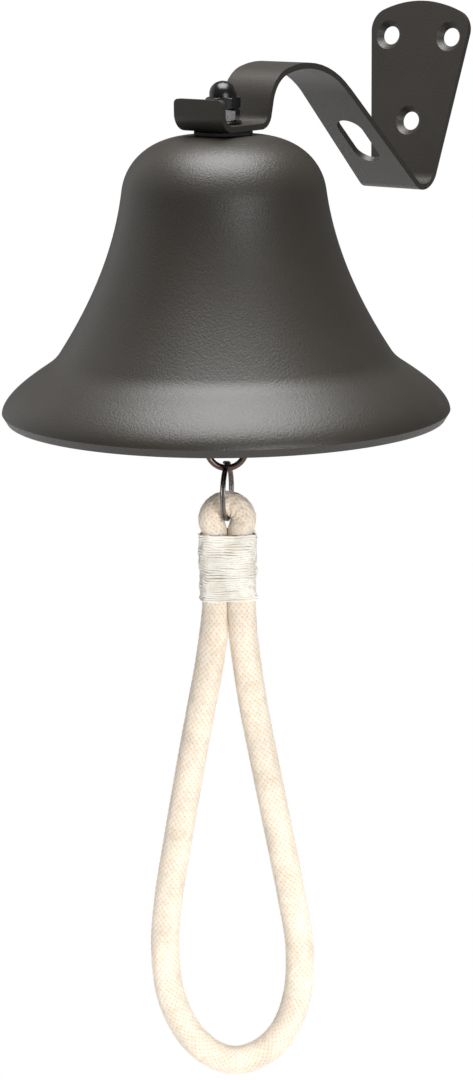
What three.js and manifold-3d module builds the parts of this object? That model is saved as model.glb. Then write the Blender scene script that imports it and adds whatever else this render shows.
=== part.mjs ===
// A bell on a bent strap bracket, with a clapper, two rings and a rope pull.
// Millimetres, +Z up. The origin is on the back face of the wall plate, on its centre line,
// +Y points into the wall and the bell hangs out towards -Y. The bell's axis is vertical.
import * as THREE from 'three';
import { mergeVertices } from 'three/addons/utils/BufferGeometryUtils.js';
import Module from 'manifold-3d';

const wasm = await Module();
wasm.setup();

// ---------------------------------------------------------------- clearances
const FACE_GAP = 0.25;      // between two flat faces that are clamped together
const BORE_GAP = 0.3;       // radial, between a shank and the hole it passes through
const HANG_GAP = 0.3;       // between two wires that hang in one another
const CUT_PAST = 1;         // how far a cutter runs past the face that it leaves

// ---------------------------------------------------------------- bracket
const STRAP_WIDTH = 20;
const STRAP_THICK = 2;
const PLATE_LEAN = 12;              // the wall plate leans back from the bell's axis, degrees
const DIAGONAL_DROP = 42.65;         // the brace falls towards the wall, degrees below level
const LEG_LEAN = 14;                // the leg leans towards the wall, degrees from upright
const CROWN_RISE = 13.8;             // the arch leaves the leg at this angle above level
const LIP_RUN = 9.8;                // every run is measured between the corners of the middle line
const SEAT_RUN = 23.8;
const LEG_RUN = 16.05;
const CROWN_RUN = 27.95;
const DIAGONAL_RUN = 81;
const PLATE_RUN = 70.5;
const LIP_BEND = 4;                 // inside radii of the bends
const SEAT_BEND = 3.5;
const LEG_BEND = 11.2;
const CROWN_BEND = 36.5;
const FOLD_BEND = 4.5;
const BEND_STEP = 6;                 // one facet of a bend, degrees
const BOLT_FROM_LIP = 12.4;         // bolt axis to the corner under the lip
const LIP_CORNER = 1.6;

const PLATE_TOP_WIDTH = 42.9;       // between the corners at the top, before they are rounded
const PLATE_FOLD_WIDTH = 25.1;      // where the plate runs into the fold
const PLATE_ROOF = 9.1;             // how far the peak stands over those corners
const PLATE_CORNER = 7.5;
const PLATE_TOP_RADIUS = 40;
const FOLD_FLARE = 44;               // the strap widens over this length before the fold
const SCREW_SPACING = 25.9;
const SCREW_DROP = 30.2;            // from the upper pair down to the single screw
const UPPER_SCREWS_DOWN = 12.4;     // from the top of the plate
const SCREW_HOLE = 6.4;
const SCREW_SINK = 10.5;            // countersink, across
const SLOT_WIDTH = 10.4;
const SLOT_LENGTH = 22.8;
const SLOT_DOWN = 47;               // slot's middle, down the brace from its upper corner

// ---------------------------------------------------------------- bell
const BELL_RIM_RADIUS = 75.2;
const BELL_HEIGHT = 94.1;           // crown face to the underside of the rim
const BELL_WALL = 3;
const BELL_LIP_WALL = 4;
const CROWN_FLAT = 9.5;             // radius of the flat that the bracket clamps
const SHOULDER_RADIUS = 33.9;       // where the dome turns into the waist
const SHOULDER_DROP = 17.8;
const BREAK_RADIUS = 57.4;          // the crease where the waist meets the flared lip
const BREAK_RISE = 19.2;            // crease above the underside of the rim
const CREASE_SOFT = 3;              // the crease is eased over this length on each side of it
const RIM_BAND = 2.7;               // height of the narrow band round the rim's edge
const RIM_BAND_IN = 1.6;            // how far that band draws in
const BELL_SIDES = 56;

// ---------------------------------------------------------------- fasteners, M6
const SHANK = 5.9;
const HEX = 10;                     // across flats
const HEX_CHAMFER = 0.7;
const GASKET_RADIUS = 9.75;
const GASKET_THICK = 1.1;
const SEAT_WASHER_RADIUS = 6.2;
const SEAT_WASHER_THICK = 0.8;
const LOCK_NUT = 3.5;               // heights
const ACORN_HEX = 3.8;
const ACORN_DOME = 5.3;
const ACORN_DOME_WALL = 1.25;       // metal round the bore at the foot of the dome
const ACORN_ROOF = 1.8;             // solid over the end of the bore
const INNER_WASHER_RADIUS = 9;
const INNER_WASHER_THICK = 1;
const INNER_NUT = 4;
const LOCK_NUT_TURN = 14;           // degrees from the acorn nut's corners

// ---------------------------------------------------------------- clapper and rings
const TRAIN_TURN = 38;              // the hanging pieces are turned this far about the bell's axis
const EYE_WIRE = 2;                 // radii of the wires, and of the rings to the wire's middle
const EYE_RADIUS = 6;
const EYE_DROP = 8.35;              // eye's middle under the inner nut
const LINK_WIRE = 1.5;
const LINK_HALF_WIDTH = 4.5;
const LINK_LENGTH = 14;
const TOP_LOOP_WIRE = 1.5;
const TOP_LOOP_RADIUS = 4;
const TAIL_LOOP_WIRE = 1.25;
const TAIL_LOOP_RADIUS = 3.5;
const CLAPPER_LENGTH = 67;         // between the wires that its two loops hang on and carry
const ROD_RADIUS = 2.5;
const BALL_RADIUS = 12;
const BALL_DOWN = 48;               // ball's middle under the wire that the clapper hangs on
const PULL_RING_WIRE = 1.1;
const PULL_RING_RADIUS = 6.5;
const SPLIT_WIRE = 0.45;
const SPLIT_RADIUS = 9.8;
const SPLIT_PITCH = 0.98;
const SPLIT_TURNS = 2;

// ---------------------------------------------------------------- rope
const ROPE_RADIUS = 4.7;
const ROPE_SIDES = 8;
const ROPE_END_GAP = 0.8;           // between the rope's two ends, hidden in the whipping
const ROPE_EYE_RADIUS = 5.5;        // bend of the rope's middle line round the split ring
const WHIPPING_GAP = 0.5;           // between the rope and the whipping round it
const WHIPPING_THICK = 0.5;
const WHIPPING_TOP = -3.9;          // heights from the middle of the wire that the rope hangs on
const WHIPPING_BOTTOM = -28.1;
const LEG_APART = 4.45;             // each leg's middle from the rope's centre line, in the whipping
// One side of the hanging loop, [sideways, height], from under the whipping down to the middle.
const LOOP_ROUTE = [
  [5.1, -35], [5.9, -45], [8.7, -66], [12.6, -89], [16.7, -112], [21.1, -135.5], [23.3, -153],
  [22, -171], [17, -184.5], [9.2, -192.8], [0, -195.6],
];

// ---------------------------------------------------------------- small helpers
const radians = THREE.MathUtils.degToRad;
const v2 = (x, y) => new THREE.Vector2(x, y);
const v3 = (x, y, z) => new THREE.Vector3(x, y, z);
const X = v3(1, 0, 0);
const Y = v3(0, 1, 0);
const Z = v3(0, 0, 1);

// A closed geometry as a solid for cutting and joining.
function solid(geometry) {
  const bare = geometry.index ? geometry.toNonIndexed() : geometry.clone();
  bare.deleteAttribute('normal');
  bare.deleteAttribute('uv');
  const welded = mergeVertices(bare, 1e-4);
  const mesh = new wasm.Mesh({
    numProp: 3,
    vertProperties: Float32Array.from(welded.attributes.position.array),
    triVerts: Uint32Array.from(welded.index.array),
  });
  mesh.merge();
  return new wasm.Manifold(mesh);
}

function geometryOf(body) {
  const mesh = body.getMesh();
  const geometry = new THREE.BufferGeometry();
  geometry.setAttribute('position', new THREE.BufferAttribute(mesh.vertProperties, 3));
  geometry.setIndex(new THREE.BufferAttribute(mesh.triVerts, 1));
  return geometry;
}

function cut(geometry, ...cutters) {
  return geometryOf(cutters.reduce((body, cutter) => body.subtract(solid(cutter)), solid(geometry)));
}

function join(geometry, ...others) {
  return geometryOf(others.reduce((body, other) => body.add(solid(other)), solid(geometry)));
}

function common(geometry, ...others) {
  return geometryOf(others.reduce((body, other) => body.intersect(solid(other)), solid(geometry)));
}

// A polygon whose corners [x, y, radius] are rounded.
function roundedShape(corners) {
  const shape = new THREE.Shape();
  corners.forEach(([x, y, radius], i) => {
    const before = corners.at(i - 1);
    const after = corners[(i + 1) % corners.length];
    const corner = v2(x, y);
    const back = v2(before[0] - x, before[1] - y).normalize();
    const on = v2(after[0] - x, after[1] - y).normalize();
    const half = back.angleTo(on) / 2;
    const start = corner.clone().addScaledVector(back, radius / Math.tan(half));
    if (i === 0) shape.moveTo(start.x, start.y);
    else shape.lineTo(start.x, start.y);
    if (radius > 0) {
      const centre = corner.clone().addScaledVector(back.clone().add(on).normalize(), radius / Math.sin(half));
      const end = corner.clone().addScaledVector(on, radius / Math.tan(half));
      const from = Math.atan2(start.y - centre.y, start.x - centre.x);
      const to = Math.atan2(end.y - centre.y, end.x - centre.x);
      const clockwise = back.cross(on) > 0;
      shape.absarc(centre.x, centre.y, radius, from, to, clockwise);
    }
  });
  shape.closePath();
  return shape;
}

// A shape drawn in the plane of `across` and `up`, made `depth` deep along `through`.
function prism(shape, depth, across, up, through, origin = v3(0, 0, 0), curveSegments = 8) {
  const geometry = new THREE.ExtrudeGeometry(shape, { depth, bevelEnabled: false, curveSegments });
  geometry.translate(0, 0, -depth / 2);
  geometry.applyMatrix4(new THREE.Matrix4().makeBasis(across, up, through).setPosition(origin));
  return geometry;
}

// A profile of [radius, height] points turned about Z. It runs down the outside, then up.
function turned(profile, sides) {
  const geometry = new THREE.LatheGeometry(profile.map(([r, z]) => v2(r, z)).reverse(), sides);
  return geometry.rotateX(Math.PI / 2);
}

function cylinder(radius, low, high, sides = 24, topRadius = radius) {
  const geometry = new THREE.CylinderGeometry(topRadius, radius, high - low, sides);
  return geometry.rotateX(Math.PI / 2).translate(0, 0, (low + high) / 2);
}

// A round ring of wire whose hole looks along `axis`.
function ringOfWire(radius, wire, axis, centre, sides = 8, steps = 28) {
  const geometry = new THREE.TorusGeometry(radius, wire, sides, steps);
  const turn = new THREE.Quaternion().setFromUnitVectors(Z, axis);
  return geometry.applyQuaternion(turn).translate(centre.x, centre.y, centre.z);
}

// Wire or rope along a curve, with flat ends. One of the section's flats faces the bend's inside.
function tube(curve, radius, sides, steps) {
  const section = new THREE.Shape();
  for (let i = 0; i < sides; i += 1) {
    const angle = (i + 0.5) * 2 * Math.PI / sides;
    const corner = v2(radius * Math.cos(angle), radius * Math.sin(angle));
    if (i === 0) section.moveTo(corner.x, corner.y);
    else section.lineTo(corner.x, corner.y);
  }
  section.closePath();
  return new THREE.ExtrudeGeometry(section, { steps, bevelEnabled: false, extrudePath: curve });
}

function finish(color, roughness, metalness) {
  return new THREE.MeshStandardMaterial({ color, roughness, metalness });
}

function piece(name, geometry, material) {
  const mesh = new THREE.Mesh(geometry, material);
  mesh.name = name;
  return mesh;
}

const POWDER_COAT = finish(0x4b4641, 0.6, 0.2);
const BLACK_GLOSS = finish(0x121214, 0.25, 0.3);
const BLACK_RUBBER = finish(0x1b1a19, 0.8, 0);
const ZINC = finish(0x8f9092, 0.4, 0.9);
const BRONZED = finish(0x3a2c28, 0.35, 0.8);
const CAST_IRON = finish(0x35322f, 0.7, 0.5);
const GUNMETAL = finish(0x4a4645, 0.3, 0.9);
const COTTON = finish(0xf0e4d0, 0.95, 0);
const THREAD = finish(0xf7f3ea, 0.9, 0);

// ---------------------------------------------------------------- the bracket's side view
// The middle line of the strap, from the top of the lip to the top of the wall plate, in the
// YZ plane with the bolt axis at y = 0 and the middle of the seat at z = 0.
function heading(degrees) {
  return v2(Math.cos(radians(degrees)), Math.sin(radians(degrees)));
}

const lipHeading = heading(90);
const legHeading = heading(90 - LEG_LEAN);
const crownHeading = heading(CROWN_RISE);
const diagonalHeading = heading(-DIAGONAL_DROP);
const plateHeading = heading(90 - PLATE_LEAN);

const lipCorner = v2(-BOLT_FROM_LIP, 0);
const lipTop = lipCorner.clone().addScaledVector(lipHeading, LIP_RUN);
const seatCorner = v2(SEAT_RUN - BOLT_FROM_LIP, 0);
const legCorner = seatCorner.clone().addScaledVector(legHeading, LEG_RUN);
const crownCorner = legCorner.clone().addScaledVector(crownHeading, CROWN_RUN);
const foldCorner = crownCorner.clone().addScaledVector(diagonalHeading, DIAGONAL_RUN);
const plateTop = foldCorner.clone().addScaledVector(plateHeading, PLATE_RUN);

// Points of the bent line, each with its direction.
function bentLine(start, corners, end) {
  const line = [];
  const add = (point, direction) => line.push({ point, direction });
  add(start, corners[0].at.clone().sub(start).normalize());
  corners.forEach(({ at, inside }, i) => {
    const from = i ? corners[i - 1].at : start;
    const to = i + 1 < corners.length ? corners[i + 1].at : end;
    const arriving = at.clone().sub(from).normalize();
    const leaving = to.clone().sub(at).normalize();
    const turn = Math.atan2(arriving.cross(leaving), arriving.dot(leaving));
    const radius = inside + STRAP_THICK / 2;
    const tangent = radius * Math.tan(Math.abs(turn) / 2);
    const side = Math.sign(turn);
    const first = at.clone().addScaledVector(arriving, -tangent);
    const centre = first.clone().add(v2(-arriving.y, arriving.x).multiplyScalar(side * radius));
    const steps = Math.max(3, Math.ceil(Math.abs(turn) / radians(BEND_STEP)));
    for (let k = 0; k <= steps; k += 1) {
      const angle = turn * k / steps;
      const direction = arriving.clone().rotateAround(v2(0, 0), angle);
      add(first.clone().rotateAround(centre, angle), direction);
    }
  });
  add(end, end.clone().sub(corners.at(-1).at).normalize());
  return line;
}

const middleLine = bentLine(lipTop, [
  { at: lipCorner, inside: LIP_BEND },
  { at: seatCorner, inside: SEAT_BEND },
  { at: legCorner, inside: LEG_BEND },
  { at: crownCorner, inside: CROWN_BEND },
  { at: foldCorner, inside: FOLD_BEND },
], plateTop);

function besideLine(offset) {
  return middleLine.map(({ point, direction }) => (
    v2(point.x - direction.y * offset, point.y + direction.x * offset)));
}

// The screw pattern lies on the plate: distances up the plate from the fold's corner.
const upperScrewsUp = PLATE_RUN - UPPER_SCREWS_DOWN;
const lowerScrewUp = upperScrewsUp - SCREW_DROP;
const originUp = (upperScrewsUp + lowerScrewUp) / 2;
const plateBack = v2(plateHeading.y, -plateHeading.x);
const wallPoint = foldCorner.clone()
  .addScaledVector(plateHeading, originUp)
  .addScaledVector(plateBack, STRAP_THICK / 2);

// From the fold's corner to where the fold ends, along the plate and along the brace.
const foldTurn = 180 - (90 - PLATE_LEAN) - DIAGONAL_DROP;
const foldTangent = (FOLD_BEND + STRAP_THICK / 2) * Math.tan(radians(foldTurn) / 2);

// From the side view to the part's own frame.
const boltY = -wallPoint.x;
const seatTop = STRAP_THICK / 2 - wallPoint.y;
const seatUnder = seatTop - STRAP_THICK;
const place = (point) => v3(0, point.x - wallPoint.x, point.y - wallPoint.y);
const direction3 = (direction) => v3(0, direction.x, direction.y);

// ---------------------------------------------------------------- the bracket
const PLATE_REACH = 260;            // long enough to run right through the bracket

function plateOutline() {
  const half = PLATE_TOP_WIDTH / 2;
  const foldHalf = PLATE_FOLD_WIDTH / 2;
  const peakDrop = PLATE_TOP_RADIUS * (Math.hypot(1, PLATE_ROOF / half) - 1);
  const shoulderUp = PLATE_RUN + peakDrop - PLATE_ROOF;
  return roundedShape([
    [foldHalf, -PLATE_REACH, 0],
    [foldHalf, foldTangent, 0],
    [half, shoulderUp, PLATE_CORNER],
    [0, PLATE_RUN + peakDrop, PLATE_TOP_RADIUS],
    [-half, shoulderUp, PLATE_CORNER],
    [-foldHalf, foldTangent, 0],
    [-foldHalf, -PLATE_REACH, 0],
  ]);
}

// Seen from above: the strap, which flares into the fold, and then room for the whole plate.
function planOutline() {
  const half = STRAP_WIDTH / 2;
  const foldHalf = PLATE_FOLD_WIDTH / 2;
  const foldY = foldCorner.x - wallPoint.x - foldTangent * diagonalHeading.x;
  return roundedShape([
    [-half, -PLATE_REACH, 0],
    [half, -PLATE_REACH, 0],
    [half, foldY - FOLD_FLARE, 0],
    [foldHalf, foldY, 0],
    [PLATE_TOP_WIDTH, foldY + CUT_PAST, 0],
    [PLATE_TOP_WIDTH, PLATE_REACH, 0],
    [-PLATE_TOP_WIDTH, PLATE_REACH, 0],
    [-PLATE_TOP_WIDTH, foldY + CUT_PAST, 0],
    [-foldHalf, foldY, 0],
    [-half, foldY - FOLD_FLARE, 0],
  ]);
}

// What the rounding of one upper corner of the lip takes away.
function lipCornerWaste(side) {
  const half = STRAP_WIDTH / 2;
  const top = lipTop.y - wallPoint.y;
  const shape = new THREE.Shape();
  shape.moveTo(half - LIP_CORNER, top + CUT_PAST);
  shape.lineTo(half - LIP_CORNER, top);
  shape.absarc(half - LIP_CORNER, top - LIP_CORNER, LIP_CORNER, Math.PI / 2, 0, true);
  shape.lineTo(half + CUT_PAST, top - LIP_CORNER);
  shape.lineTo(half + CUT_PAST, top + CUT_PAST);
  shape.closePath();
  const depth = 2 * (STRAP_THICK + CUT_PAST);
  const centre = v3(0, lipTop.x - wallPoint.x, 0);
  if (side > 0) return prism(shape, depth, X, Z, Y.clone().negate(), centre);
  const mirrored = new THREE.Shape(shape.getPoints(6).map((p) => v2(-p.x, p.y)).reverse());
  return prism(mirrored, depth, X, Z, Y.clone().negate(), centre);
}

function countersunkHole(x, up) {
  const front = direction3(plateBack).negate();
  const middle = place(foldCorner.clone().addScaledVector(plateHeading, up)).setX(x);
  const sinkDepth = (SCREW_SINK - SCREW_HOLE) / 2;
  const half = STRAP_THICK / 2;
  const bore = cylinder(SCREW_HOLE / 2, -half - CUT_PAST, half + CUT_PAST);
  const wide = SCREW_SINK / 2 + CUT_PAST;
  const sink = cylinder(SCREW_HOLE / 2 - CUT_PAST, half - sinkDepth - CUT_PAST, half + CUT_PAST, 24, wide);
  const toFront = new THREE.Quaternion().setFromUnitVectors(Z, front);
  return [bore, sink].map((cutter) => (
    cutter.applyQuaternion(toFront).translate(middle.x, middle.y, middle.z)));
}

function slotCutter() {
  const halfWidth = SLOT_WIDTH / 2;
  const halfLength = SLOT_LENGTH / 2;
  const outline = roundedShape([
    [-halfWidth, -halfLength, halfWidth * 0.999],
    [halfWidth, -halfLength, halfWidth * 0.999],
    [halfWidth, halfLength, halfWidth * 0.999],
    [-halfWidth, halfLength, halfWidth * 0.999],
  ]);
  const along = direction3(diagonalHeading);
  const through = X.clone().cross(along);
  const middle = place(crownCorner.clone().addScaledVector(diagonalHeading, SLOT_DOWN));
  return prism(outline, STRAP_THICK + 2 * CUT_PAST, X, along, through, middle);
}

function bracketGeometry() {
  const side = new THREE.Shape([
    ...besideLine(STRAP_THICK / 2),
    ...besideLine(-STRAP_THICK / 2).reverse(),
  ].map((p) => v2(p.x - wallPoint.x, p.y - wallPoint.y)));
  const blank = prism(side, PLATE_TOP_WIDTH + CUT_PAST, Y, Z, X);
  const front = direction3(plateBack).negate();
  const up = direction3(plateHeading);
  const plate = prism(plateOutline(), 2 * PLATE_REACH, X, up, front, place(foldCorner));
  const plan = prism(planOutline(), 2 * PLATE_REACH, X, Y, Z);
  const boltHole = cylinder(SHANK / 2 + BORE_GAP, seatUnder - CUT_PAST, seatTop + CUT_PAST, 24);
  return cut(
    common(blank, plate, plan),
    ...countersunkHole(-SCREW_SPACING / 2, upperScrewsUp),
    ...countersunkHole(SCREW_SPACING / 2, upperScrewsUp),
    ...countersunkHole(0, lowerScrewUp),
    slotCutter(),
    boltHole.translate(0, boltY, 0),
    lipCornerWaste(1),
    lipCornerWaste(-1),
  );
}

// ---------------------------------------------------------------- levels down the bell's axis
// Everything on the axis is measured from the top of the seat, upwards positive.
const gasketTop = -STRAP_THICK - FACE_GAP;
const gasketUnder = gasketTop - GASKET_THICK;
const crownTop = gasketUnder - FACE_GAP;
const crownUnder = crownTop - BELL_WALL;
const rimUnder = crownTop - BELL_HEIGHT;
const seatWasherUnder = FACE_GAP;
const lockNutUnder = seatWasherUnder + SEAT_WASHER_THICK + FACE_GAP;
const acornUnder = lockNutUnder + LOCK_NUT + FACE_GAP;
const acornDomeUnder = acornUnder + ACORN_HEX;
const acornTop = acornDomeUnder + ACORN_DOME;
const acornDomeRadius = SHANK / 2 + BORE_GAP + ACORN_DOME_WALL;
const shankTop = acornTop - ACORN_ROOF - BORE_GAP;
const innerGasketTop = crownUnder - FACE_GAP;
const innerWasherTop = innerGasketTop - GASKET_THICK - FACE_GAP;
const innerNutTop = innerWasherTop - INNER_WASHER_THICK - FACE_GAP;
const innerNutUnder = innerNutTop - INNER_NUT;

const eyeMiddle = innerNutUnder - EYE_DROP;
const eyeHang = eyeMiddle - EYE_RADIUS;
const linkTop = eyeHang + EYE_WIRE + LINK_WIRE + HANG_GAP;
const linkHang = linkTop - LINK_LENGTH;
const topLoopMiddle = linkHang + LINK_WIRE + TOP_LOOP_WIRE + HANG_GAP - TOP_LOOP_RADIUS;
const tailHang = linkHang - CLAPPER_LENGTH;
const tailLoopMiddle = tailHang + TAIL_LOOP_RADIUS;
const ballMiddle = linkHang - BALL_DOWN;
const pullRingMiddle = tailHang + TAIL_LOOP_WIRE + PULL_RING_WIRE + HANG_GAP - PULL_RING_RADIUS;
const ringHang = pullRingMiddle - PULL_RING_RADIUS;
const splitMiddle = ringHang + PULL_RING_WIRE + SPLIT_WIRE + HANG_GAP - SPLIT_RADIUS;
const ropeHang = splitMiddle - SPLIT_RADIUS;

// ---------------------------------------------------------------- the bell
// Outer outline: a domed shoulder, a hollow waist and a flared lip, as three cubic curves, and a
// short curve that eases the crease. Each stretch runs from one share of its curve to another.
function bellOutline() {
  const shoulderZ = crownTop - SHOULDER_DROP;
  const breakZ = rimUnder + BREAK_RISE;
  const bandZ = rimUnder + RIM_BAND;
  const shoulderRun = SHOULDER_RADIUS - CROWN_FLAT;
  const waistRun = BREAK_RADIUS - SHOULDER_RADIUS;
  const waistDrop = shoulderZ - breakZ;
  const lipRun = BELL_RIM_RADIUS - BREAK_RADIUS;
  const lipDrop = breakZ - bandZ;
  const crease = v2(BREAK_RADIUS, breakZ);
  const dome = new THREE.CubicBezierCurve(
    v2(CROWN_FLAT, crownTop),
    v2(CROWN_FLAT + 0.565 * shoulderRun, crownTop),
    v2(CROWN_FLAT + 0.937 * shoulderRun, crownTop - 0.42 * SHOULDER_DROP),
    v2(SHOULDER_RADIUS, shoulderZ),
  );
  const waist = new THREE.CubicBezierCurve(
    v2(SHOULDER_RADIUS, shoulderZ),
    v2(SHOULDER_RADIUS + 0.106 * waistRun, shoulderZ - 0.334 * waistDrop),
    v2(SHOULDER_RADIUS + 0.451 * waistRun, shoulderZ - 0.666 * waistDrop),
    crease,
  );
  const lip = new THREE.CubicBezierCurve(
    crease,
    v2(BREAK_RADIUS + 0.385 * lipRun, breakZ - 0.274 * lipDrop),
    v2(BREAK_RADIUS + 0.966 * lipRun, breakZ - 0.667 * lipDrop),
    v2(BELL_RIM_RADIUS, bandZ),
  );
  const waistEnd = waist.getUtoTmapping(0, waist.getLength() - CREASE_SOFT);
  const lipStart = lip.getUtoTmapping(0, CREASE_SOFT);
  const ease = new THREE.QuadraticBezierCurve(waist.getPoint(waistEnd), crease, lip.getPoint(lipStart));
  return [
    { curve: dome, from: 0, to: 1, steps: 7, thickens: false },
    { curve: waist, from: 0, to: waistEnd, steps: 5, thickens: false },
    { curve: ease, from: 0, to: 1, steps: 2, thickens: false },
    { curve: lip, from: lipStart, to: 1, steps: 6, thickens: true },
  ];
}

function bellGeometry() {
  const hole = SHANK / 2 + BORE_GAP;
  const outer = [[hole, crownTop]];
  const inner = [[hole, crownUnder]];
  bellOutline().forEach(({ curve, from, to, steps, thickens }, part) => {
    for (let k = part ? 1 : 0; k <= steps; k += 1) {
      const t = THREE.MathUtils.lerp(from, to, k / steps);
      const point = curve.getPoint(t);
      const tangent = curve.getTangent(t);
      const wall = thickens ? THREE.MathUtils.lerp(BELL_WALL, BELL_LIP_WALL, t) : BELL_WALL;
      outer.push([point.x, point.y]);
      const inside = [point.x + tangent.y * wall, point.y - tangent.x * wall];
      if (inside[1] > rimUnder + RIM_BAND / 2) inner.push(inside);
    }
  });
  const rimInner = inner.at(-1)[0] + BELL_WALL / 4;
  outer.push([BELL_RIM_RADIUS - RIM_BAND_IN, rimUnder]);
  inner.push([rimInner, rimUnder]);
  const profile = [...outer, ...inner.reverse()];
  return turned([...profile, profile[0]], BELL_SIDES);
}

// ---------------------------------------------------------------- washers, nuts and the eye bolt
function ringGeometry(radius, hole, low, high, sides = 32) {
  const profile = [[hole, high], [radius, high], [radius, low], [hole, low]];
  return turned([...profile, profile[0]], sides);
}

function hexBlank(low, high, chamferTop, chamferUnder) {
  const corner = HEX / 2 / Math.cos(Math.PI / 6);
  const top = corner - (chamferTop ? HEX_CHAMFER : 0);
  const under = corner - (chamferUnder ? HEX_CHAMFER : 0);
  const rise = HEX_CHAMFER * Math.tan(radians(30));
  const barrel = turned([
    [0, high], [top, high], [corner, high - rise], [corner, low + rise], [under, low], [0, low],
  ], 36);
  const hex = new THREE.CylinderGeometry(corner, corner, high - low, 6);
  hex.rotateX(Math.PI / 2).rotateZ(Math.PI / 6).translate(0, 0, (low + high) / 2);
  return common(hex, barrel);
}

function nutGeometry(low, high) {
  const bore = cylinder(SHANK / 2 + BORE_GAP, low - CUT_PAST, high + CUT_PAST, 24);
  return cut(hexBlank(low, high, true, true), bore);
}

function acornGeometry() {
  const straight = ACORN_DOME * 0.22;
  const profile = [[0, acornTop]];
  const steps = 7;
  for (let k = 1; k <= steps; k += 1) {
    const angle = (Math.PI / 2) * (1 - k / steps);
    profile.push([
      acornDomeRadius * Math.cos(angle),
      acornDomeUnder + straight + (ACORN_DOME - straight) * Math.sin(angle),
    ]);
  }
  profile.push([acornDomeRadius, acornDomeUnder - ACORN_HEX / 2], [0, acornDomeUnder - ACORN_HEX / 2]);
  const dome = turned(profile, 32);
  const hex = hexBlank(acornUnder, acornDomeUnder, true, true);
  const bore = cylinder(SHANK / 2 + BORE_GAP, acornUnder - CUT_PAST, shankTop + BORE_GAP, 24);
  return cut(join(hex, dome), bore);
}

function eyeBoltGeometry() {
  const shank = cylinder(SHANK / 2, eyeMiddle + EYE_RADIUS, shankTop, 24);
  const eye = ringOfWire(EYE_RADIUS, EYE_WIRE, X, v3(0, 0, eyeMiddle));
  return join(shank, eye);
}

// ---------------------------------------------------------------- link, clapper and rings
// A bent wire oval. Its two ends meet half way up one side.
function linkGeometry() {
  const points = [];
  const bottom = linkHang + LINK_HALF_WIDTH;
  const top = linkTop - LINK_HALF_WIDTH;
  const butt = (bottom + top) / 2;
  const steps = 6;
  const arc = (height, from) => {
    for (let k = 0; k <= steps; k += 1) {
      const angle = from + Math.PI * k / steps;
      points.push(v3(LINK_HALF_WIDTH * Math.cos(angle), 0, height + LINK_HALF_WIDTH * Math.sin(angle)));
    }
  };
  points.push(v3(LINK_HALF_WIDTH, 0, butt + HANG_GAP / 2));
  arc(top, 0);
  arc(bottom, Math.PI);
  points.push(v3(LINK_HALF_WIDTH, 0, butt - HANG_GAP / 2));
  return tube(new THREE.CatmullRomCurve3(points), LINK_WIRE, 8, 36);
}

function clapperRodGeometry() {
  const rod = cylinder(ROD_RADIUS, tailLoopMiddle + TAIL_LOOP_RADIUS - TAIL_LOOP_WIRE / 2,
    topLoopMiddle - TOP_LOOP_RADIUS + TOP_LOOP_WIRE / 2, 24);
  const topLoop = ringOfWire(TOP_LOOP_RADIUS, TOP_LOOP_WIRE, X, v3(0, 0, topLoopMiddle), 8, 20);
  const tailLoop = ringOfWire(TAIL_LOOP_RADIUS, TAIL_LOOP_WIRE, X, v3(0, 0, tailLoopMiddle), 8, 20);
  return join(rod, topLoop, tailLoop);
}

function clapperBallGeometry() {
  const ball = new THREE.SphereGeometry(BALL_RADIUS, 24, 16).rotateX(Math.PI / 2);
  const bore = cylinder(ROD_RADIUS + BORE_GAP, -BALL_RADIUS - CUT_PAST, BALL_RADIUS + CUT_PAST, 24);
  return cut(ball, bore).translate(0, 0, ballMiddle);
}

// Two flat turns of wire side by side; its ends are at the top.
class SplitCoil extends THREE.Curve {
  getPoint(t, target = new THREE.Vector3()) {
    const angle = Math.PI / 2 + 2 * Math.PI * SPLIT_TURNS * t;
    const across = (t - 0.5) * SPLIT_TURNS * SPLIT_PITCH;
    return target.set(across, SPLIT_RADIUS * Math.cos(angle), SPLIT_RADIUS * Math.sin(angle));
  }
}

// ---------------------------------------------------------------- rope
// Up the left leg, round the eye, down the right leg, round the loop and back to the left leg.
// The steps are shared out by the route's points, so that the tight eye gets its share.
function ropeGeometry() {
  const apothem = ROPE_RADIUS * Math.cos(Math.PI / ROPE_SIDES);
  const eyeCentre = -HANG_GAP / 2;
  const ends = (WHIPPING_TOP + WHIPPING_BOTTOM) / 2;
  const points = [
    v3(-LEG_APART, 0, ends + ROPE_END_GAP / 2),
    v3(-LEG_APART, 0, (WHIPPING_TOP + ends) / 2),
    v3(-LEG_APART, 0, WHIPPING_TOP),
  ];
  const eyeSteps = 6;
  for (let k = 0; k <= eyeSteps; k += 1) {
    const angle = Math.PI * (1 - k / eyeSteps);
    points.push(v3(ROPE_EYE_RADIUS * Math.cos(angle), 0, eyeCentre + ROPE_EYE_RADIUS * Math.sin(angle)));
  }
  points.push(v3(LEG_APART, 0, WHIPPING_TOP));
  points.push(v3(LEG_APART, 0, ends));
  points.push(v3(LEG_APART, 0, WHIPPING_BOTTOM));
  LOOP_ROUTE.forEach(([x, z]) => points.push(v3(x, 0, z)));
  LOOP_ROUTE.slice(0, -1).reverse().forEach(([x, z]) => points.push(v3(-x, 0, z)));
  points.push(v3(-LEG_APART, 0, WHIPPING_BOTTOM));
  points.push(v3(-LEG_APART, 0, ends - ROPE_END_GAP / 2));
  const route = new THREE.CatmullRomCurve3(points, false, 'centripetal');
  route.getUtoTmapping = (u) => u;
  return tube(route, ROPE_RADIUS, ROPE_SIDES, 2 * (points.length - 1));
}

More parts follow.
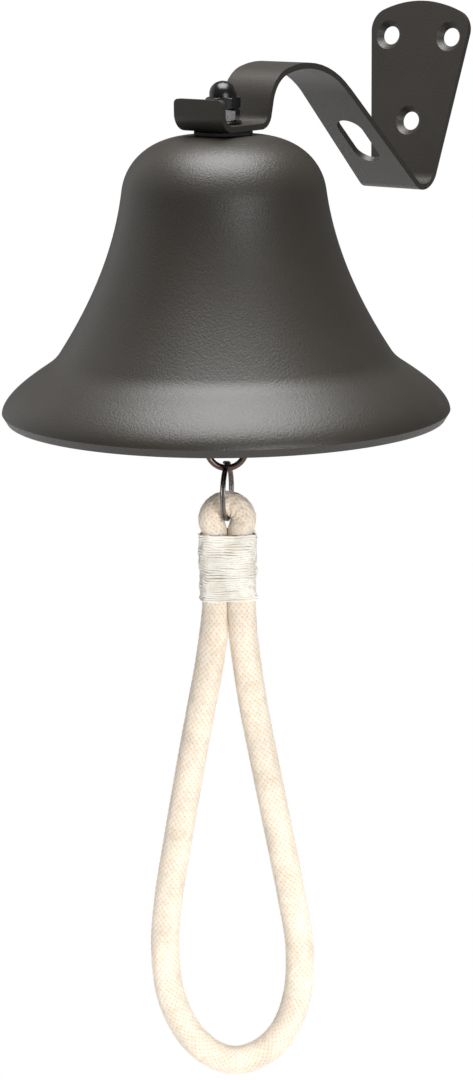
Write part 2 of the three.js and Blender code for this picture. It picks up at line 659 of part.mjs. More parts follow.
function whippingGeometry() {
  const side = ROPE_RADIUS * Math.cos(Math.PI / ROPE_SIDES) + WHIPPING_GAP;
  const obround = (radius) => roundedShape([
    [-LEG_APART - radius, -radius, radius * 0.999],
    [LEG_APART + radius, -radius, radius * 0.999],
    [LEG_APART + radius, radius, radius * 0.999],
    [-LEG_APART - radius, radius, radius * 0.999],
  ]);
  const height = WHIPPING_TOP - WHIPPING_BOTTOM;
  const middle = v3(0, 0, (WHIPPING_TOP + WHIPPING_BOTTOM) / 2);
  const outside = prism(obround(side + WHIPPING_THICK), height, X, Y, Z, middle);
  const inside = prism(obround(side), height + 2 * CUT_PAST, X, Y, Z, middle);
  return cut(outside, inside);
}

// ---------------------------------------------------------------- the assembly
const bell = new THREE.Group();
bell.position.set(0, boltY, seatTop);
bell.add(
  piece('crown_gasket', ringGeometry(GASKET_RADIUS, SHANK / 2 + BORE_GAP, gasketUnder, gasketTop), BLACK_RUBBER),
  piece('bell_shell', bellGeometry(), POWDER_COAT),
  piece('seat_washer', ringGeometry(SEAT_WASHER_RADIUS, SHANK / 2 + BORE_GAP,
    seatWasherUnder, seatWasherUnder + SEAT_WASHER_THICK), BLACK_GLOSS),
  piece('inner_gasket', ringGeometry(GASKET_RADIUS, SHANK / 2 + BORE_GAP,
    innerGasketTop - GASKET_THICK, innerGasketTop), BLACK_RUBBER),
  piece('inner_washer', ringGeometry(INNER_WASHER_RADIUS, SHANK / 2 + BORE_GAP,
    innerWasherTop - INNER_WASHER_THICK, innerWasherTop), ZINC),
);

const train = new THREE.Group();
train.rotation.z = radians(TRAIN_TURN);
bell.add(train);

const lockNut = piece('lock_nut', nutGeometry(lockNutUnder, lockNutUnder + LOCK_NUT), BLACK_GLOSS);
lockNut.rotation.z = radians(LOCK_NUT_TURN);
train.add(
  lockNut,
  piece('acorn_nut', acornGeometry(), BLACK_GLOSS),
  piece('inner_nut', nutGeometry(innerNutUnder, innerNutTop), ZINC),
  piece('eye_bolt', eyeBoltGeometry(), ZINC),
  piece('clapper_link', linkGeometry(), ZINC),
  piece('clapper_rod', clapperRodGeometry(), CAST_IRON),
  piece('clapper_ball', clapperBallGeometry(), CAST_IRON),
  piece('pull_ring', ringOfWire(PULL_RING_RADIUS, PULL_RING_WIRE, Y, v3(0, 0, pullRingMiddle)), BRONZED),
);

const splitRing = piece('split_ring', tube(new SplitCoil(), SPLIT_WIRE, 6, 56), GUNMETAL);
splitRing.position.z = splitMiddle;
train.add(splitRing);

const rope = new THREE.Group();
rope.position.z = ropeHang;
rope.add(
  piece('rope', ropeGeometry(), COTTON),
  piece('whipping', whippingGeometry(), THREAD),
);
train.add(rope);

const wallBell = new THREE.Group();
wallBell.add(piece('bracket', bracketGeometry(), POWDER_COAT), bell);

export default wallBell;
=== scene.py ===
# %% [markdown]
# # A bell for a wall
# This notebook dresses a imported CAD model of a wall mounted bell. The CAD holds every size, and the
# cells below only make surfaces: a powder coated bell and strap, glossy nuts, dark rings, and a
# braided cotton rope tied with thread. The first cell loads the CAD as a frame that nothing moves.

# %% Load the frame
import math

import bmesh
import bpy
from mathutils import Matrix, Vector


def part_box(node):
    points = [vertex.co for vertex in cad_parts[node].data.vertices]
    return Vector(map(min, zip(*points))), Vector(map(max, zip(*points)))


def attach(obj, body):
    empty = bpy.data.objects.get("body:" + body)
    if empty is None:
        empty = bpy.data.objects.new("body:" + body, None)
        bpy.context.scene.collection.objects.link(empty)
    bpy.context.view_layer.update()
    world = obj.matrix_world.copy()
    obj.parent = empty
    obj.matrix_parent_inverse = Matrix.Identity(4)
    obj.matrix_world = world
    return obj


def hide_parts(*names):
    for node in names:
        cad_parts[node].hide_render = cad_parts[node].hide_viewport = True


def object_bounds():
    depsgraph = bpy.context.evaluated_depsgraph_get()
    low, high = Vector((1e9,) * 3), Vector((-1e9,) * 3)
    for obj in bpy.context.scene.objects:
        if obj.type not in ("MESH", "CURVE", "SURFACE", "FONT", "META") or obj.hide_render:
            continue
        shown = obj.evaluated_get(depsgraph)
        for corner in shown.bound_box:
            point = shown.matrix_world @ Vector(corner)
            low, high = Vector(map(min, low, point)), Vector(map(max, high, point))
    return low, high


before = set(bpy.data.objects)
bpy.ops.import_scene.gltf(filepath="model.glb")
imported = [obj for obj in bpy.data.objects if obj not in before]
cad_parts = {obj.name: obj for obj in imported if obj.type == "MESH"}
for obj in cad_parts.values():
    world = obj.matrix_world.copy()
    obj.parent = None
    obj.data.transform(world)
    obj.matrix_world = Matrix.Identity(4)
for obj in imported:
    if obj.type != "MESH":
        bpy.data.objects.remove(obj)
cad_low, cad_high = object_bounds()
print("CAD box, m:", [round(v, 4) for v in (*cad_low, *cad_high)])

# %% [markdown]
# ## Where things are
# Nearly every piece sits on one upright line, the bell's axis, or hangs from it. So two values do
# for places: the axis, which is the middle of the bell's own box, and the turn of the hanging
# pieces about it. Reading the axis from the CAD is better than typing it, because it stays right
# when the CAD changes.

# %% Find the bell's axis
MM = 0.001
bell_low, bell_high = (Vector(corner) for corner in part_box("bell_shell"))
axis = Vector(((bell_low.x + bell_high.x) / 2, (bell_low.y + bell_high.y) / 2, 0))
CROWN_TOP = bell_high.z
RIM_UNDER = bell_low.z
HANG_TURN = math.radians(38)
ACROSS = Vector((math.cos(HANG_TURN), math.sin(HANG_TURN), 0))
AWAY = Vector((-math.sin(HANG_TURN), math.cos(HANG_TURN), 0))
print("axis, m:", [round(v, 4) for v in axis])
print("crown and rim, m:", round(CROWN_TOP, 4), round(RIM_UNDER, 4))


def hang(sideways, height, away=0.0):
    """A point beside the bell's axis, in the plane of the rope's loop."""
    return axis + ACROSS * sideways + AWAY * away + Vector((0, 0, height))


# %% [markdown]
# ## Camera
# A product shot of this kind is taken from a metre or so with a long lens, a little above the
# bell's rim. A short lens close by would swell the rim. The camera also leans by half a degree,
# as a hand-levelled tripod does.

# %% Place the camera
CAMERA_TURN = math.radians(38)
CAMERA_PITCH = math.radians(12.595)
CAMERA_ROLL = math.radians(0.551)
CAMERA_DISTANCE = 1.0179
CAMERA_LENS = 100
AIM_RIGHT = 3.053 * MM
AIM_BELOW_SEAT = 140.318 * MM
SEAT_ABOVE_CROWN = 3.6 * MM

forward = Vector((
    -math.sin(CAMERA_TURN) * math.cos(CAMERA_PITCH),
    math.cos(CAMERA_TURN) * math.cos(CAMERA_PITCH),
    -math.sin(CAMERA_PITCH),
))
right = Vector((math.cos(CAMERA_TURN), math.sin(CAMERA_TURN), 0))
up = right.cross(forward)
aim = axis + right * AIM_RIGHT + Vector((0, 0, CROWN_TOP + SEAT_ABOVE_CROWN - AIM_BELOW_SEAT))
leaning_right = right * math.cos(CAMERA_ROLL) - up * math.sin(CAMERA_ROLL)
leaning_up = right * math.sin(CAMERA_ROLL) + up * math.cos(CAMERA_ROLL)

camera_data = bpy.data.cameras.new("camera")
camera_data.lens = CAMERA_LENS
camera_data.sensor_fit = "AUTO"
camera_data.sensor_width = 36
camera = bpy.data.objects.new("camera", camera_data)
bpy.context.collection.objects.link(camera)
facing = Matrix((leaning_right, leaning_up, -forward)).transposed().to_4x4()
camera.matrix_world = Matrix.Translation(aim - forward * CAMERA_DISTANCE) @ facing
bpy.context.scene.camera = camera
print("camera at, m:", [round(v, 3) for v in camera.location])

# %% [markdown]
# ## Helpers for meshes and materials
# A surface given by two running numbers, such as a tube or a turned shell, is a grid of points
# whose neighbours are joined by four-sided faces. One helper makes that grid, and it can close it
# either way round.
#
# Materials are made of nodes. Short helpers keep each recipe down to what is special about it.


# %% Grid and mesh helpers
def link_mesh(name, points, faces, smooth=True):
    mesh = bpy.data.meshes.new(name)
    mesh.from_pydata([tuple(p) for p in points], [], faces)
    mesh.validate()
    if smooth:
        mesh.shade_smooth()
    piece = bpy.data.objects.new(name, mesh)
    bpy.context.collection.objects.link(piece)
    return piece


def grid_faces(rings, sides, close_rings=False):
    """Faces between rings of points, each ring closed. close_rings joins the last to the first."""
    faces = []
    for ring in range(rings if close_rings else rings - 1):
        here, there = ring * sides, (ring + 1) % rings * sides
        for side in range(sides):
            beside = (side + 1) % sides
            faces.append((here + side, here + beside, there + beside, there + side))
    return faces


def face_outwards(piece):
    shape = bmesh.new()
    shape.from_mesh(piece.data)
    bmesh.ops.remove_doubles(shape, verts=shape.verts, dist=1e-7)
    bmesh.ops.recalc_face_normals(shape, faces=shape.faces)
    shape.to_mesh(piece.data)
    shape.free()
    return piece


# %% Material helpers
def as_colour(value):
    """A colour, or a grey given as one number, as the four numbers that a node takes."""
    return (*value, 1) if isinstance(value, tuple) else (value, value, value, 1)


class Recipe:
    """A node material whose nodes are added and joined by short calls."""

    def __init__(self, name, colour, roughness, metallic=0.0):
        self.material = bpy.data.materials.new(name)
        self.material.use_nodes = True
        self.tree = self.material.node_tree
        self.shader = self.tree.nodes["Principled BSDF"]
        self.set("Base Color", (*colour, 1))
        self.set("Roughness", roughness)
        self.set("Metallic", metallic)
        self.material.diffuse_color = (*colour, 1)

    def set(self, socket, value):
        self.shader.inputs[socket].default_value = value

    def node(self, kind, **inputs):
        made = self.tree.nodes.new(kind)
        for socket, value in inputs.items():
            self.feed(made.inputs[socket.replace("_", " ")], value)
        return made

    def feed(self, socket, value):
        if isinstance(value, bpy.types.NodeSocket):
            self.tree.links.new(value, socket)
        else:
            socket.default_value = value

    def place(self):
        return self.node("ShaderNodeTexCoord").outputs["Object"]

    def noise(self, scale, detail=3.0, roughness=0.5, place=None):
        made = self.node("ShaderNodeTexNoise", Scale=scale, Detail=detail, Roughness=roughness)
        self.feed(made.inputs["Vector"], place or self.place())
        return made.outputs["Fac"]

    def ramp(self, value, low, high, start=0.0, end=1.0):
        """A colour or grey that goes from low to high as value goes from start to end."""
        made = self.node("ShaderNodeValToRGB", Fac=value)
        made.color_ramp.elements[0].position = start
        made.color_ramp.elements[1].position = end
        made.color_ramp.elements[0].color = as_colour(low)
        made.color_ramp.elements[1].color = as_colour(high)
        return made.outputs["Color"]

    def bump(self, height, distance, strength=1.0, before=None):
        made = self.node("ShaderNodeBump", Height=height, Distance=distance, Strength=strength)
        if before is not None:
            self.feed(made.inputs["Normal"], before)
        return made.outputs["Normal"]


def dress(piece, recipe):
    piece.data.materials.clear()
    piece.data.materials.append(recipe.material)


# %% [markdown]
# ## Cotton: the rope's finish
# Braided cotton is matt and a warm cream. Its colour is painted browner and darker down between the
# strands and in the folds over the ring, as painted shade, and each crossing gets a dirt of its own.
# The strands are real relief in the mesh, so the material reads each point's painted shade and dirt
# from an attribute that the mesh carries. A pattern painted by itself would drift away from the
# relief. The sail thread that ties the rope is whiter, and a soft noise stands for the dirt of hands.

# %% Make the cotton and thread materials
COTTON_LIGHT = (0.90, 0.80, 0.67)
# The darker cotton colour is painted shade between the strands and in the folds, and the dirt of some
# strands.
COTTON_PAINTED_SHADE_AND_DIRT = (0.66, 0.49, 0.33)
THREAD_LIGHT = (0.92, 0.89, 0.82)
THREAD_SHADE = (0.82, 0.76, 0.66)


def fibre_recipe(name, light, painted_shade_and_dirt, pattern, start, end):
    recipe = Recipe(name, light, 0.95)
    # For the rope this ramp paints shade between the strands and in the folds; for the thread, dirt.
    painted_shade_and_dirt_colour = recipe.ramp(pattern(recipe), painted_shade_and_dirt, light, start, end)
    patches = recipe.ramp(recipe.noise(scale=90, detail=4), low=0.86, high=1.0, start=0.35, end=0.6)
    mixed = recipe.node("ShaderNodeMix")
    mixed.data_type = "RGBA"
    mixed.blend_type = "MULTIPLY"
    recipe.feed(mixed.inputs["Factor"], 1.0)
    recipe.feed(mixed.inputs["A"], painted_shade_and_dirt_colour)
    recipe.feed(mixed.inputs["B"], patches)
    recipe.feed(recipe.shader.inputs["Base Color"], mixed.outputs["Result"])
    fuzz = recipe.bump(
        recipe.noise(scale=2600, detail=2, roughness=0.7), distance=0.12 * MM, strength=0.5)
    recipe.feed(recipe.shader.inputs["Normal"], fuzz)
    recipe.set("Sheen Weight", 0.35)
    recipe.set("Sheen Roughness", 0.5)
    recipe.set("Specular IOR Level", 0.15)
    return recipe


def painted_strand_shade_and_dirt(recipe):
    """The painted shade and strand dirt that the rope's mesh stores at each point."""
    painted_shade_and_dirt = recipe.node("ShaderNodeAttribute")
    painted_shade_and_dirt.attribute_name = "painted_shade_and_dirt"
    return painted_shade_and_dirt.outputs["Fac"]


def dirt(recipe):
    """Soft patches, for thread that hands have touched."""
    return recipe.noise(scale=150, detail=5, roughness=0.7)


cotton = fibre_recipe(
    "braided_cotton", COTTON_LIGHT, COTTON_PAINTED_SHADE_AND_DIRT, painted_strand_shade_and_dirt, start=0.0, end=0.75)
thread = fibre_recipe(
    "whipping_cotton", THREAD_LIGHT, THREAD_SHADE, dirt, start=0.38, end=0.55)
print("fibres:", cotton.material.name, thread.material.name)

# %% [markdown]
# ## The rope
# One length of 10 mm braid goes up one leg, round the split ring, down through the whipping, round
# the open loop that the hand pulls, and back to the whipping. Its route is a list of points given
# one by one, because a hanging rope has no formula once fingers have pushed it about.
#
# The braid could be sixteen separate strands woven over and under, but then thousands of crossings
# have to be kept from cutting into each other. A tube whose radius rises and falls as woven
# strands do looks the same from outside and stays one closed skin.

# %% The rope's sizes and route
SPLIT_WIRE = 0.45 * MM
ROPE_RADIUS = 5.0 * MM
ROPE_TIGHT = 4.4 * MM
SWELL_RUN = 14 * MM
EYE_BEND = 5.5 * MM
LEG_APART = 4.45 * MM
ROPE_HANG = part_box("split_ring")[0][2] + SPLIT_WIRE
WHIPPING_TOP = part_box("whipping")[1][2] - ROPE_HANG
WHIPPING_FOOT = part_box("whipping")[0][2] - ROPE_HANG
ENDS_MEET = (WHIPPING_TOP + WHIPPING_FOOT) / 2
END_GAP = 0.8 * MM
EYE_CENTRE = -0.15 * MM
EYE_STEPS = 6
# The two sides of the hanging loop, sideways and up, in millimetres.
RIGHT_SIDE = [
    (4.75, -35), (5.0, -40), (6.4, -52), (8.4, -66), (12.6, -89), (16.9, -112), (21.2, -135.5),
    (23.7, -153), (22.8, -171), (17.9, -184.5), (10.2, -192.4), (1, -195.3),
]
LEFT_SIDE = [
    (-8, -192.2), (-15.8, -184), (-21.4, -171), (-23.3, -153), (-21.9, -135.5), (-18, -112),
    (-13.9, -89), (-9.6, -66), (-6.9, -52), (-5.1, -40), (-4.75, -35),
]

route = [(-LEG_APART, ENDS_MEET + END_GAP / 2), (-LEG_APART, (WHIPPING_TOP + ENDS_MEET) / 2)]
route.append((-LEG_APART, WHIPPING_TOP))
for step in range(EYE_STEPS + 1):
    turn = math.pi * (1 - step / EYE_STEPS)
    route.append((EYE_BEND * math.cos(turn), EYE_CENTRE + EYE_BEND * math.sin(turn)))
route += [(LEG_APART, WHIPPING_TOP), (LEG_APART, ENDS_MEET), (LEG_APART, WHIPPING_FOOT)]
route += [(x * MM, z * MM) for x, z in RIGHT_SIDE + LEFT_SIDE]
route += [(-LEG_APART, WHIPPING_FOOT), (-LEG_APART, ENDS_MEET - END_GAP / 2)]
print("rope points:", len(route))


# %% A smooth line through the points
def smooth_line(points, pieces=24):
    """A centripetal Catmull-Rom line through flat points, which never overshoots a tight bend."""
    flat = [Vector(p) for p in points]
    ends = [flat[0] * 2 - flat[1], *flat, flat[-1] * 2 - flat[-2]]
    line = []
    for a, b, c, d in zip(ends, ends[1:], ends[2:], ends[3:]):
        t1 = (b - a).length ** 0.5
        t2 = t1 + (c - b).length ** 0.5
        t3 = t2 + (d - c).length ** 0.5
        for k in range(pieces):
            t = t1 + (t2 - t1) * k / pieces
            ab = a.lerp(b, t / t1)
            bc = b.lerp(c, (t - t1) / (t2 - t1))
            cd = c.lerp(d, (t - t2) / (t3 - t2))
            abc = ab.lerp(bc, t / t2)
            bcd = bc.lerp(cd, (t - t1) / (t3 - t1))
            line.append(abc.lerp(bcd, (t - t1) / (t2 - t1)))
    return [*line, flat[-1]]


def evenly(line, spacing):
    """The same line with its points a fixed distance apart, and how far along each one lies."""
    lengths = [0.0]
    for here, there in zip(line, line[1:]):
        lengths.append(lengths[-1] + (there - here).length)
    count = round(lengths[-1] / spacing)
    even, at = [], 0
    for k in range(count + 1):
        wanted = lengths[-1] * k / count
        while at < len(line) - 2 and lengths[at + 1] < wanted:
            at += 1
        share = (wanted - lengths[at]) / (lengths[at + 1] - lengths[at])
        even.append(line[at].lerp(line[at + 1], share))
    return even, [lengths[-1] * k / count for k in range(count + 1)]


RING_SPACING = 0.42 * MM
centre_line, along = evenly(smooth_line(route), RING_SPACING)
ROPE_LENGTH = along[-1]
print("rope length, m:", round(ROPE_LENGTH, 4), "rings:", len(centre_line))

# %% [markdown]
# ### How a braid rises and falls
# Half of the strands climb clockwise and half climb the other way. Counted in strands, the two
# directions are two slanted axes on the rope's skin. Along its own way each strand rises over one
# that crosses it and dives under the next, so its height is a wave, and whichever of the two
# strands is higher at a point is the one that shows. No two strands are quite as clean as each
# other, so each crossing gets a shade of its own. Over the ring the bend is so tight that its
# inner side folds.

# %% Braid relief
STRANDS = 16
CELL_LENGTH = 2.2 * MM
BRAID_DEPTH = 0.34 * MM
ROPE_SIDES = 96
STRAND_ROUNDNESS = 0.7
STRAND_MIDDLE = 0.62
STRAND_WAVE = 0.38
UNEVEN = 0.35
WRINKLE_LENGTH = 2.6 * MM
WRINKLE_DEPTH = 0.7 * MM
WRINKLE_REACH = 13 * MM


def strand(across, along_strand, own_count):
    """How high one strand lies at a point, and how near the point is to the strand's middle."""
    crest = abs(math.sin(math.pi * across)) ** STRAND_ROUNDNESS
    wave = math.cos(math.pi * (along_strand - 0.5 + own_count))
    return crest * (STRAND_MIDDLE + STRAND_WAVE * wave), crest


def chance(first, second):
    """A number from 0 to 1 that looks random, and is always the same for the same two counts."""
    return math.sin(first * 12.99 + second * 78.23) * 437.58 % 1


def braid(turn, distance):
    """The braid's height at a point, and its painted shade, low between strands, with each crossing's
    dirt.
    """
    first = STRANDS * turn / (2 * math.pi) + distance / CELL_LENGTH
    second = STRANDS * turn / (2 * math.pi) - distance / CELL_LENGTH
    over = strand(first, second, math.floor(first))
    under = strand(second, first, math.floor(second) + 1)
    height, crest = max(over, under)
    own_shade = chance(math.floor(first) % STRANDS, math.floor(second) % STRANDS)
    # Low between strands is painted shade; each crossing's own tone is dirt.
    return height, crest - UNEVEN * own_shade


def rope_radius(distance):
    """Full size in the open loop, and squeezed in the eye and under the thread."""
    eye_ends = abs(WHIPPING_TOP) + math.pi * EYE_BEND + abs(WHIPPING_FOOT)
    free = min(distance - eye_ends, ROPE_LENGTH - abs(WHIPPING_FOOT - ENDS_MEET) - distance)
    share = min(max(free / SWELL_RUN, 0), 1)
    return ROPE_TIGHT + (ROPE_RADIUS - ROPE_TIGHT) * share * share * (3 - 2 * share)


def wrinkle(turn, distance):
    """Folds that the tight bend over the ring presses into the inner side."""
    top_at = abs(WHIPPING_TOP - ENDS_MEET) + abs(WHIPPING_TOP) + math.pi * EYE_BEND / 2
    nearness = max(0.0, 1 - abs(distance - top_at) / WRINKLE_REACH)
    inner = (0.5 - 0.5 * math.cos(turn)) ** 0.8
    fold = abs(math.sin(distance / WRINKLE_LENGTH * math.pi + 0.9 * math.sin(3 * turn)))
    return WRINKLE_DEPTH * nearness * inner * (1 - fold) ** 1.5


def make_rope():
    points, painted_shades_and_dirt = [], []
    for k, (flat, distance) in enumerate(zip(centre_line, along)):
        before = centre_line[max(k - 1, 0)]
        after = centre_line[min(k + 1, len(centre_line) - 1)]
        ahead = (after - before).normalized()
        side = Vector((-ahead.y, ahead.x))
        radius = rope_radius(distance)
        for s in range(ROPE_SIDES):
            turn = 2 * math.pi * s / ROPE_SIDES
            height, painted_shade_and_dirt = braid(turn, distance)
            crease_depth = wrinkle(turn, distance)
            out = radius - BRAID_DEPTH * (1 - height) - crease_depth
            offset = flat + side * (out * math.cos(turn))
            points.append(hang(offset.x, ROPE_HANG + offset.y, out * math.sin(turn)))
            # The folds are painted darker too, as painted shade.
            painted_shades_and_dirt.append(painted_shade_and_dirt - crease_depth / WRINKLE_DEPTH)
    faces = grid_faces(len(centre_line), ROPE_SIDES)
    last = (len(centre_line) - 1) * ROPE_SIDES
    faces.append(tuple(range(ROPE_SIDES)))
    faces.append(tuple(range(last + ROPE_SIDES - 1, last - 1, -1)))
    piece = link_mesh("braided_rope", points, faces)
    # The painted shade and dirt ride on the mesh as a point attribute.
    store = piece.data.attributes.new("painted_shade_and_dirt", "FLOAT", "POINT")
    store.data.foreach_set("value", painted_shades_and_dirt)
    return piece


rope = make_rope()
face_outwards(rope)
dress(rope, cotton)
print("rope faces:", len(rope.data.polygons))

# %% [markdown]
# ## Whipping
# Sail thread is wound round the two legs, turn beside turn, to bind the rope's ends. It follows a
# rule: a screw line round an outline with two round ends. That suits Geometry Nodes: a spiral
# curve is pulled apart sideways until its rings fit the two legs. One noise shakes it up and down
# and another lets it bulge, so that the turns don't lie like a machine's, and a small round
# section is swept along it. The rope's own two ends meet inside it, in the left leg.


# %% Geometry Nodes helpers
class Nodes:
    """A Geometry Nodes tree with named inputs, which ends in a plain mesh."""

    def __init__(self, name, inputs):
        self.tree = bpy.data.node_groups.new(name, "GeometryNodeTree")
        self.tree.interface.new_socket("Geometry", in_out="INPUT", socket_type="NodeSocketGeometry")
        self.tree.interface.new_socket(
            "Geometry", in_out="OUTPUT", socket_type="NodeSocketGeometry")
        self.identifiers = {}
        for label in inputs:
            made = self.tree.interface.new_socket(
                label, in_out="INPUT", socket_type="NodeSocketFloat")
            self.identifiers[label] = made.identifier
        self.start = self.tree.nodes.new("NodeGroupInput")
        self.end = self.tree.nodes.new("NodeGroupOutput")

    def __getitem__(self, label):
        return self.start.outputs[label]

    def add(self, kind, settings=None, **inputs):
        node = self.tree.nodes.new(kind)
        for name, value in (settings or {}).items():
            setattr(node, name, value)
        for socket, value in inputs.items():
            self.feed(node.inputs[socket.replace("_", " ")], value)
        return node

    def feed(self, socket, value):
        if isinstance(value, bpy.types.NodeSocket):
            self.tree.links.new(value, socket)
        else:
            socket.default_value = value

    def maths(self, operation, first, second=0.0, third=0.0):
        node = self.tree.nodes.new("ShaderNodeMath")
        node.operation = operation
        for socket, value in zip(node.inputs, (first, second, third)):
            self.feed(socket, value)
        return node.outputs[0]

    def finish(self, geometry, material):
        painted = self.add("GeometryNodeSetMaterial", Geometry=geometry, Material=material)
        smooth = self.add("GeometryNodeSetShadeSmooth", Geometry=painted.outputs[0])
        real = self.add("GeometryNodeRealizeInstances", Geometry=smooth.outputs[0])
        self.feed(self.end.inputs[0], real.outputs[0])


def grow(name, nodes, values, material):
    """Runs a tree on an empty mesh and keeps its result as a plain mesh."""
    seed = bpy.data.objects.new(name + "_seed", bpy.data.meshes.new(name + "_seed"))
    bpy.context.collection.objects.link(seed)
    modifier = seed.modifiers.new("nodes", "NODES")
    modifier.node_group = nodes.tree
    for label, value in values.items():
        modifier[nodes.identifiers[label]] = float(value)
    evaluated = seed.evaluated_get(bpy.context.evaluated_depsgraph_get())
    mesh = bpy.data.meshes.new_from_object(evaluated)
    mesh.name = name
    bpy.data.objects.remove(seed)
    piece = bpy.data.objects.new(name, mesh)
    bpy.context.collection.objects.link(piece)
    mesh.materials.clear()
    mesh.materials.append(material)
    return piece


def hang_mesh(piece, height):
    """Moves a mesh made round the origin to its height on the bell's axis, turned as it hangs."""
    piece.data.transform(Matrix.Translation(hang(0, height)) @ Matrix.Rotation(HANG_TURN, 4, "Z"))
    return piece


# %% The whipping's tree
SIDE_STEEPNESS = 2.2
SHAKE_SCALE = 170.0
BULGE_SCALE = 260.0
BULGE_RANGE = 0.22
BULGE_LEAST = 0.9


def whipping_tree():
    nodes = Nodes(
        "thread_whipping",
        ["Turns", "Height", "Side radius", "Legs apart", "Thread radius", "Unevenness"])
    spiral = nodes.add("GeometryNodeCurveSpiral", Resolution=96)
    nodes.feed(spiral.inputs["Rotations"], nodes["Turns"])
    nodes.feed(spiral.inputs["Start Radius"], nodes["Side radius"])
    nodes.feed(spiral.inputs["End Radius"], nodes["Side radius"])
    nodes.feed(spiral.inputs["Height"], nodes["Height"])
    position = nodes.add("GeometryNodeInputPosition")
    x, y, z = nodes.add("ShaderNodeSeparateXYZ", Vector=position.outputs[0]).outputs
    share = nodes.maths("DIVIDE", x, nodes["Side radius"])
    steep = nodes.maths("MULTIPLY", share, SIDE_STEEPNESS)
    held = nodes.maths("MAXIMUM", nodes.maths("MINIMUM", steep, 1.0), -1.0)
    wide = nodes.maths("MULTIPLY_ADD", held, nodes["Legs apart"], x)
    space = {"noise_dimensions": "3D"}
    shake = nodes.add("ShaderNodeTexNoise", space, Scale=SHAKE_SCALE, Detail=2.0)
    either_way = nodes.maths("SUBTRACT", shake.outputs["Fac"], 0.5)
    swing = nodes.maths("MULTIPLY", either_way, nodes["Unevenness"])
    loose = nodes.add("ShaderNodeTexNoise", space, Scale=BULGE_SCALE, Detail=1.0)
    bulge = nodes.maths("MULTIPLY_ADD", loose.outputs["Fac"], BULGE_RANGE, BULGE_LEAST)
    sideways = nodes.maths("MULTIPLY", wide, bulge)
    deep = nodes.maths("MULTIPLY", y, bulge)
    moved = nodes.add("ShaderNodeCombineXYZ", X=sideways, Y=deep, Z=nodes.maths("ADD", z, swing))
    shaped = nodes.add(
        "GeometryNodeSetPosition", Geometry=spiral.outputs[0], Position=moved.outputs[0])
    section = nodes.add(
        "GeometryNodeCurvePrimitiveCircle", Resolution=8, Radius=nodes["Thread radius"])
    tube = nodes.add(
        "GeometryNodeCurveToMesh",
        Curve=shaped.outputs[0], Profile_Curve=section.outputs[0], Fill_Caps=True)
    nodes.finish(tube.outputs[0], thread.material)
    return nodes


THREAD_RADIUS = 0.48 * MM
THREAD_ROOM = 1.15
THREAD_SHAKE = 3.2 * MM
WHIPPING_TURNS = 29
WHIPPING_SIDE = 5.34 * MM
whipping_height = WHIPPING_TOP - WHIPPING_FOOT - 2 * THREAD_RADIUS
whipping = grow("thread_whipping", whipping_tree(), {
    "Turns": WHIPPING_TURNS,
    "Height": whipping_height,
    "Side radius": WHIPPING_SIDE - THREAD_RADIUS * THREAD_ROOM,
    "Legs apart": LEG_APART,
    "Thread radius": THREAD_RADIUS,
    "Unevenness": THREAD_SHAKE,
}, thread.material)
hang_mesh(whipping, ROPE_HANG + WHIPPING_FOOT + THREAD_RADIUS)
print("whipping faces:", len(whipping.data.polygons))

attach(rope, "pull")
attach(whipping, "pull")
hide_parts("rope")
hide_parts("whipping")

# %% [markdown]
# ## Powder coat
# The bell and its strap are sprayed with powder and baked. The paint flows into a skin of small
# rounded bumps, called orange peel, and stays matt. The bumps are far smaller than any vertex
# spacing that a mesh can afford, so they belong in the material: one noise for the peel, a finer
# one for the grit, one as fine as the peel that varies the roughness, and a broad one for the
# tone.

# %% Make the powder coat
COAT_COLOUR = (0.0175, 0.0147, 0.0113)
COAT_LIGHT = (0.022, 0.0187, 0.0146)
COAT_ROUGHNESS = 0.44
TONE_SCALE = 35
PEEL_SCALE = 1400
PEEL_DEPTH = 0.17 * MM
GRIT_SCALE = 2400
GRIT_DEPTH = 0.04 * MM


def powder_recipe(name, dark, light, peel, roughness=COAT_ROUGHNESS):
    recipe = Recipe(name, dark, roughness)
    place = recipe.place()
    tone = recipe.ramp(recipe.noise(TONE_SCALE, 5, 0.6, place), dark, light, 0.3, 0.7)
    recipe.feed(recipe.shader.inputs["Base Color"], tone)
    rough = recipe.ramp(
        recipe.noise(PEEL_SCALE, 3, 0.6, place), roughness - 0.02, roughness + 0.03, 0.3, 0.7)
    recipe.feed(recipe.shader.inputs["Roughness"], rough)
    skin = recipe.bump(recipe.noise(PEEL_SCALE, 2, 0.5, place), PEEL_DEPTH, peel)
    grit = recipe.bump(recipe.noise(GRIT_SCALE, 2, 0.5, place), GRIT_DEPTH, peel, skin)
    recipe.feed(recipe.shader.inputs["Normal"], grit)
    recipe.set("Specular IOR Level", 0.5)
    return recipe


bell_coat = powder_recipe("bell_powder_coat", COAT_COLOUR, COAT_LIGHT, peel=0.55)
strap_coat = powder_recipe("strap_powder_coat", COAT_COLOUR, COAT_LIGHT, peel=0.35)
print("coats:", bell_coat.material.name, strap_coat.material.name)

# %% [markdown]
# ## The bell
# A bell is turned or pressed, so it is one outline swept round an axis. The outline has a flat
# crown, a round shoulder, a hollow waist and a flared lip with a narrow band under it. Cubic
# curves give each stretch from four points, as a draughtsman's spline would. Waist and lip meet
# at an angle, and a short curve eases that crease, because paint never leaves it knife sharp.

# %% The bell's outline
RIM_RADIUS = (bell_high.x - bell_low.x) / 2
CROWN_FLAT = 9.5 * MM
SHOULDER_RADIUS = 33.9 * MM
SHOULDER_DROP = 17.8 * MM
BREAK_RADIUS = 57.4 * MM
BREAK_RISE = 19.2 * MM
CREASE_SOFT = 3.0 * MM
EASE_STEPS = 8
RIM_BAND = 2.7 * MM
RIM_BAND_IN = 1.6 * MM
BELL_WALL = 3.0 * MM
LIP_WALL = 4.0 * MM
BOLT_HOLE = 3.25 * MM


